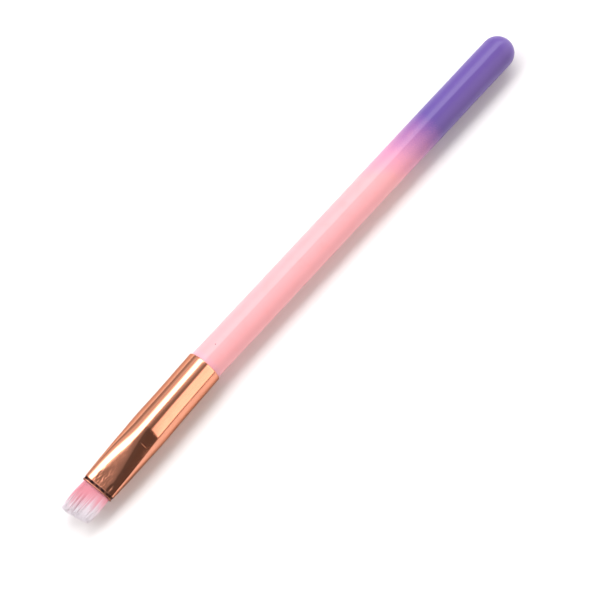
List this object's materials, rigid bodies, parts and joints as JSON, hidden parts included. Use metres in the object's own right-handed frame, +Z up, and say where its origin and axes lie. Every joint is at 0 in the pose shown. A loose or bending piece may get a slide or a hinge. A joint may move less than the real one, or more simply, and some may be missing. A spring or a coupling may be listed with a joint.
{
  "type": "acrylic nail brush",
  "caption": "Slim round-handled nail brush with a metal ferrule pressed flat at its mouth and a short, flat, slightly slanted tuft of two-tone filaments.",
  "frame": {"origin": "on the surface that the brush lies on, under the handle's axis, half-way along the brush", "axes": "+X along the handle's axis from the butt to the tuft, +Z up and across the thin way of the tuft, +Y towards the side that the head leans to"},
  "size_m": [0.1514, 0.0097, 0.0088],
  "materials": {
    "handle_lacquer": "satin-gloss sprayed lacquer, pink fading to violet at the butt",
    "ferrule_metal": "bright copper-coloured plating with fine draw lines",
    "filaments": "drawn nylon filaments, pink at the root and pale lilac-white at the tips",
    "root_resin": "cured casting resin, amber",
    "tenon_glue": "dried adhesive, off-white"
  },
  "bodies": {
    "root": {"handle": "handle_lacquer", "ferrule": "ferrule_metal", "filament_tuft": "filaments", "root_resin_plug": "root_resin", "tenon_glue_film": "tenon_glue"}
  },
  "joints": []
}
